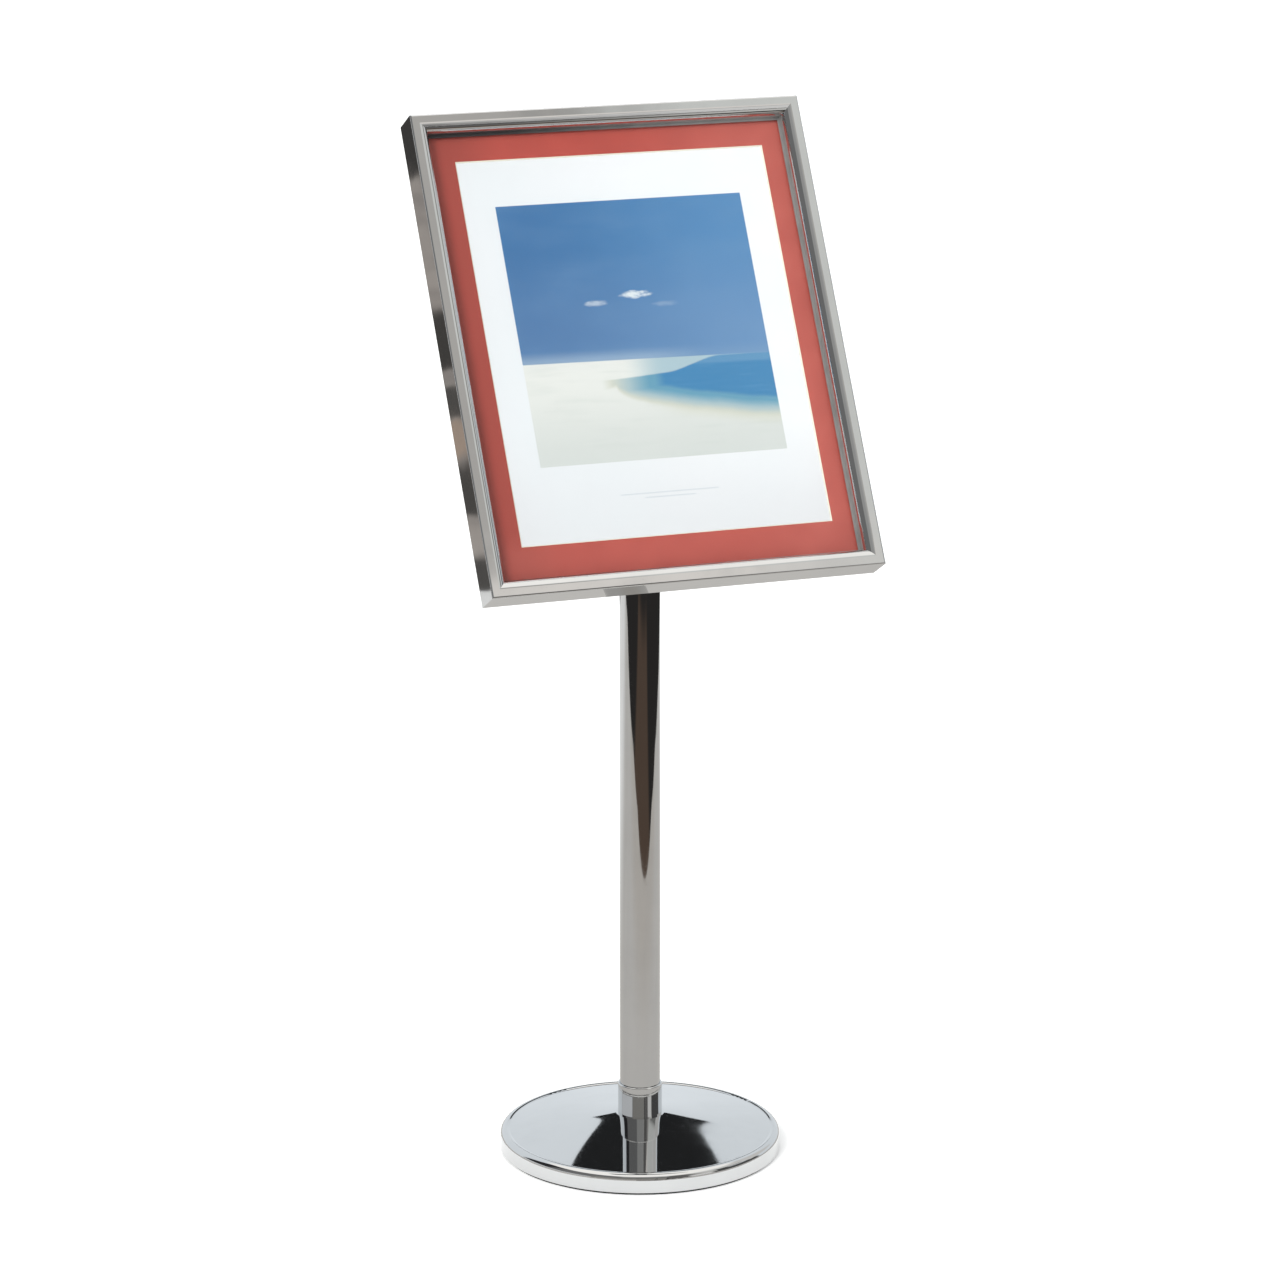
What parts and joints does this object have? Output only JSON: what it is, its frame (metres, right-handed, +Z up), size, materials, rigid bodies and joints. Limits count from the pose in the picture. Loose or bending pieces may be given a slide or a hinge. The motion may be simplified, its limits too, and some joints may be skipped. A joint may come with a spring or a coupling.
{
  "type": "sign stand",
  "caption": "Free-standing sign stand: round weighted base, polished post and a deep polished frame that tilts on a clamp and holds a matted poster.",
  "frame": {"origin": "on the floor, at the centre of the base and on the axis of the post", "axes": "+Z up along the post, -Y the way the poster faces, +X to the viewer's right when facing the poster"},
  "size_m": [0.508, 0.3556, 1.3152],
  "materials": {
    "polished_steel": "polished",
    "bright_zinc": "zinc plated",
    "dark_steel": "satin black powder coat",
    "cast_iron": "as cast, painted",
    "rubber": "matt",
    "aluminium": "mill",
    "grey_panel": "painted grey, satin",
    "fibre": "matt",
    "black_plastic": "fine grain",
    "brass": "turned",
    "clear_acrylic": "clear",
    "red_mat": "fine felt-like paper facing",
    "poster_paper": "satin coated",
    "white_board": "matt"
  },
  "bodies": {
    "stand": {"floor_pad": "rubber", "base_weight": "cast_iron", "base_cover": "polished_steel", "base_bolt": "bright_zinc", "base_washer": "bright_zinc", "base_lock_washer": "bright_zinc", "post_collar": "polished_steel", "collar_screw": "dark_steel", "post_tube": "polished_steel", "foot_plug": "bright_zinc", "tilt_head": "polished_steel", "head_screws": "dark_steel"},
    "frame": {"pivot_bracket": "dark_steel", "bracket_bolts": "bright_zinc", "bracket_nuts": "bright_zinc", "pivot_bolt": "bright_zinc", "friction_washer_left": "fibre", "friction_washer_right": "fibre", "knob_washer": "bright_zinc", "rail_top": "polished_steel", "rail_bottom": "polished_steel", "rail_left": "polished_steel", "rail_right": "polished_steel", "corner_key_top_left": "aluminium", "corner_key_top_right": "aluminium", "corner_key_bottom_left": "aluminium", "corner_key_bottom_right": "aluminium", "corner_screws": "bright_zinc", "cross_bar": "dark_steel", "cross_bar_screws": "bright_zinc", "glazing": "clear_acrylic", "back_panel": "grey_panel", "panel_strip_top": "aluminium", "panel_strip_bottom": "aluminium", "panel_strip_left": "aluminium", "panel_strip_right": "aluminium", "strip_rivets": "aluminium"},
    "knob": {"clamp_knob": "black_plastic", "knob_insert": "brass", "knob_cap": "black_plastic"},
    "insert": {"mat_board": "red_mat", "poster_sheet": "poster_paper", "backing_board": "white_board"}
  },
  "joints": [
    {"name": "frame_tilt", "type": "hinge", "parent": "stand", "child": "frame", "pos_m": [0, 0, 0.928], "axis": [-1, 0, 0], "range_deg": [-28.5, 51.5]},
    {"name": "knob_turn", "type": "hinge", "parent": "frame", "child": "knob", "pos_m": [0, 0, 0.928], "axis": [1, 0, 0], "range_deg": [0, 360]},
    {"name": "insert_lift", "type": "slide", "parent": "frame", "child": "insert", "axis": [0, 0.4772, 0.8788], "range_m": [0, 0.58]}
  ]
}
